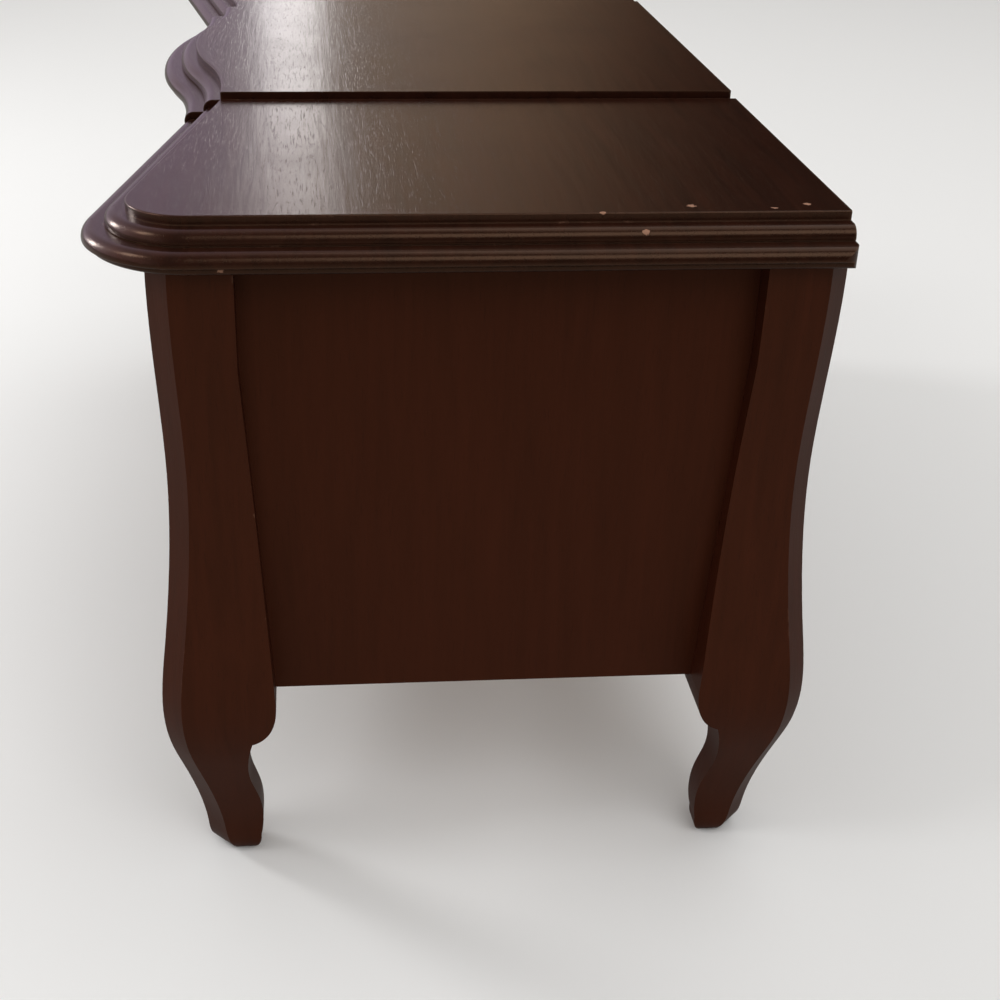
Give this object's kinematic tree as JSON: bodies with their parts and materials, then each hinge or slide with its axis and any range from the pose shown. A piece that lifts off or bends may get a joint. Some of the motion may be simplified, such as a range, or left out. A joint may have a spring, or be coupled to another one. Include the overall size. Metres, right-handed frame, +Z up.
{
  "type": "vanity box with mirror",
  "caption": "Table-top vanity box on cabriole legs: drawers below, and a bowed centre lid with a mirror inside over a lined compartment.",
  "frame": {"origin": "middle of the footprint, on the surface that the box stands on", "axes": "+X towards the right-hand end seen from the front, -Y towards the front with the drawers, +Z up"},
  "size_m": [0.406, 0.1932, 0.1975],
  "materials": {
    "mahogany": "dark red-brown mahogany stain under gloss lacquer",
    "drawer_wood": "plain pale wood, sealed",
    "brass": "polished, lightly aged",
    "mirror": "silvered glass",
    "velvet": "short-pile velvet",
    "felt": "pressed felt"
  },
  "bodies": {
    "casing": {"apron": "mahogany", "back_panel": "mahogany", "bottom_board": "drawer_wood", "centre_bottom_divider": "mahogany", "centre_middle_divider": "mahogany", "compartment_front": "mahogany", "compartment_lining": "velvet", "hinge_fixed_leaves": "brass", "hinge_fixed_screws": "brass", "hinge_pins": "brass", "inner_wall": "velvet", "left_back_leg": "mahogany", "left_bottom_divider": "mahogany", "left_end_panel": "mahogany", "left_end_top": "mahogany", "left_front_leg": "mahogany", "left_middle_divider": "mahogany", "left_partition": "mahogany", "lid_bumpers": "felt", "right_back_leg": "mahogany", "right_bottom_divider": "mahogany", "right_end_panel": "mahogany", "right_end_top": "mahogany", "right_front_leg": "mahogany", "right_middle_divider": "mahogany", "right_partition": "mahogany", "ring_cushion": "velvet"},
    "lid": {"lid": "mahogany", "mirror": "mirror", "mirror_frame": "mahogany", "hinge_lid_leaves": "brass", "hinge_lid_screws": "brass"},
    "left_bottom_drawer": {"left_bottom_drawer_front": "mahogany", "left_bottom_drawer_box": "drawer_wood", "left_bottom_drawer_knob": "brass"},
    "left_middle_drawer": {"left_middle_drawer_front": "mahogany", "left_middle_drawer_box": "drawer_wood", "left_middle_drawer_knob": "brass"},
    "left_top_drawer": {"left_top_drawer_front": "mahogany", "left_top_drawer_box": "drawer_wood", "left_top_drawer_knob": "brass"},
    "right_bottom_drawer": {"right_bottom_drawer_front": "mahogany", "right_bottom_drawer_box": "drawer_wood", "right_bottom_drawer_knob": "brass"},
    "right_middle_drawer": {"right_middle_drawer_front": "mahogany", "right_middle_drawer_box": "drawer_wood", "right_middle_drawer_knob": "brass"},
    "right_top_drawer": {"right_top_drawer_front": "mahogany", "right_top_drawer_box": "drawer_wood", "right_top_drawer_knob": "brass"},
    "centre_bottom_drawer": {"centre_bottom_drawer_front": "mahogany", "centre_bottom_drawer_box": "drawer_wood", "centre_bottom_drawer_knob": "brass"},
    "centre_middle_drawer": {"centre_middle_drawer_front": "mahogany", "centre_middle_drawer_box": "drawer_wood", "centre_middle_drawer_knob": "brass"}
  },
  "joints": [
    {"name": "lid_hinge", "type": "hinge", "parent": "casing", "child": "lid", "pos_m": [0, 0.09294, 0.185], "axis": [-1, 0, 0], "range_deg": [0, 95]},
    {"name": "left_bottom_drawer_slide", "type": "slide", "parent": "casing", "child": "left_bottom_drawer", "axis": [0, -1, 0], "range_m": [0, 0.1]},
    {"name": "left_middle_drawer_slide", "type": "slide", "parent": "casing", "child": "left_middle_drawer", "axis": [0, -1, 0], "range_m": [0, 0.1]},
    {"name": "left_top_drawer_slide", "type": "slide", "parent": "casing", "child": "left_top_drawer", "axis": [0, -1, 0], "range_m": [0, 0.1]},
    {"name": "right_bottom_drawer_slide", "type": "slide", "parent": "casing", "child": "right_bottom_drawer", "axis": [0, -1, 0], "range_m": [0, 0.1]},
    {"name": "right_middle_drawer_slide", "type": "slide", "parent": "casing", "child": "right_middle_drawer", "axis": [0, -1, 0], "range_m": [0, 0.1]},
    {"name": "right_top_drawer_slide", "type": "slide", "parent": "casing", "child": "right_top_drawer", "axis": [0, -1, 0], "range_m": [0, 0.1]},
    {"name": "centre_bottom_drawer_slide", "type": "slide", "parent": "casing", "child": "centre_bottom_drawer", "axis": [0, -1, 0], "range_m": [0, 0.1]},
    {"name": "centre_middle_drawer_slide", "type": "slide", "parent": "casing", "child": "centre_middle_drawer", "axis": [0, -1, 0], "range_m": [0, 0.1]}
  ]
}
